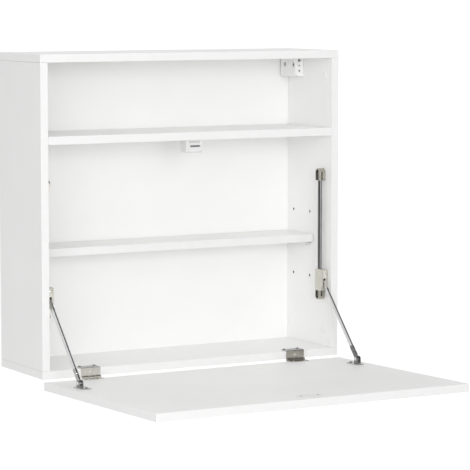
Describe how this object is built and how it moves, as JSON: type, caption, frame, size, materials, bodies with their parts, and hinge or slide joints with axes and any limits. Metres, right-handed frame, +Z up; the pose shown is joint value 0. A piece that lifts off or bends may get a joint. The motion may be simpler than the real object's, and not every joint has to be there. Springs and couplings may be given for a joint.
{
  "type": "secretary desk",
  "caption": "Wall-hung white secretary desk: open top bay, adjustable shelf, and a drop-down writing flap held level by sliding stays.",
  "frame": {"origin": "on the wall plane, on the centre line, at mid-thickness of the top panel's rear edge", "axes": "+X to the right seen from the front, +Y into the wall, +Z up; the front and the open flap face -Y"},
  "size_m": [0.64, 0.6399, 0.6191],
  "materials": {
    "white_board": "white melamine foil on particle board, satin, with a fine orange-peel texture",
    "white_back": "white lacquered hardboard, matt",
    "white_plastic": "smooth white moulded plastic",
    "nickel": "warm nickel-plated pressed steel, satin",
    "chrome": "bright chrome-plated rod",
    "dark_steel": "dark plated steel, semi-gloss",
    "zinc": "pale beige die-cast zinc, satin",
    "bright_steel": "bright zinc-plated steel"
  },
  "bodies": {
    "cabinet": {"top_panel": "white_board", "bottom_panel": "white_board", "left_side_panel": "white_board", "right_side_panel": "white_board", "fixed_shelf": "white_board", "loose_shelf": "white_board", "back_board": "white_back", "left_front_shelf_pin": "bright_steel", "left_rear_shelf_pin": "bright_steel", "left_lower_front_cam_lock": "white_plastic", "left_lower_rear_cam_lock": "white_plastic", "left_upper_front_cam_lock": "white_plastic", "left_upper_rear_cam_lock": "white_plastic", "left_hinge_cabinet_leaf": "nickel", "left_hinge_pin": "nickel", "left_guide_rod": "chrome", "left_rod_upper_holder": "zinc", "left_rod_lower_holder": "zinc", "left_hanger_body": "white_plastic", "left_hanger_hook": "bright_steel", "left_hanger_height_screw": "dark_steel", "left_hanger_depth_screw": "bright_steel", "left_wall_plate": "bright_steel", "right_front_shelf_pin": "bright_steel", "right_rear_shelf_pin": "bright_steel", "right_lower_front_cam_lock": "white_plastic", "right_lower_rear_cam_lock": "white_plastic", "right_upper_front_cam_lock": "white_plastic", "right_upper_rear_cam_lock": "white_plastic", "right_hinge_cabinet_leaf": "nickel", "right_hinge_pin": "nickel", "right_guide_rod": "chrome", "right_rod_upper_holder": "zinc", "right_rod_lower_holder": "zinc", "right_hanger_body": "white_plastic", "right_hanger_hook": "bright_steel", "right_hanger_height_screw": "dark_steel", "right_hanger_depth_screw": "bright_steel", "right_wall_plate": "bright_steel", "catch_housing": "white_plastic", "catch_magnet": "bright_steel"},
    "flap": {"flap_panel": "white_board", "left_hinge_flap_leaf": "nickel", "left_flap_bracket": "nickel", "left_bracket_rivet": "bright_steel", "right_hinge_flap_leaf": "nickel", "right_flap_bracket": "nickel", "right_bracket_rivet": "bright_steel", "strike_plate": "bright_steel"},
    "left_slider": {"left_slider_body": "zinc", "left_brake_screw": "dark_steel"},
    "left_arm": {"left_arm_rod": "chrome", "left_arm_sleeve": "dark_steel", "left_arm_pin": "bright_steel"},
    "right_slider": {"right_slider_body": "zinc", "right_brake_screw": "dark_steel"},
    "right_arm": {"right_arm_rod": "chrome", "right_arm_sleeve": "dark_steel", "right_arm_pin": "bright_steel"}
  },
  "joints": [
    {"name": "flap_hinge", "type": "hinge", "parent": "cabinet", "child": "flap", "pos_m": [0, -0.1897, -0.5945], "axis": [-1, 0, 0], "range_deg": [0, 88.65]},
    {"name": "left_slider_slide", "type": "slide", "parent": "cabinet", "child": "left_slider", "axis": [0, 0, 1], "range_m": [0, 0.14739]},
    {"name": "left_arm_hinge", "type": "hinge", "parent": "flap", "child": "left_arm", "pos_m": [-0.297, -0.2974, -0.58466], "axis": [1, 0, 0], "range_deg": [0, 128.2]},
    {"name": "right_slider_slide", "type": "slide", "parent": "cabinet", "child": "right_slider", "axis": [0, 0, 1], "range_m": [0, 0.14739]},
    {"name": "right_arm_hinge", "type": "hinge", "parent": "flap", "child": "right_arm", "pos_m": [0.297, -0.2974, -0.58466], "axis": [1, 0, 0], "range_deg": [0, 128.2]}
  ],
  "couplings": [
    {"joint": "left_slider_slide", "follows": "flap_hinge", "m_per_rad": 0.095225},
    {"joint": "left_arm_hinge", "follows": "flap_hinge", "ratio": 1.4439},
    {"joint": "right_slider_slide", "follows": "flap_hinge", "m_per_rad": 0.095225},
    {"joint": "right_arm_hinge", "follows": "flap_hinge", "ratio": 1.4439}
  ]
}
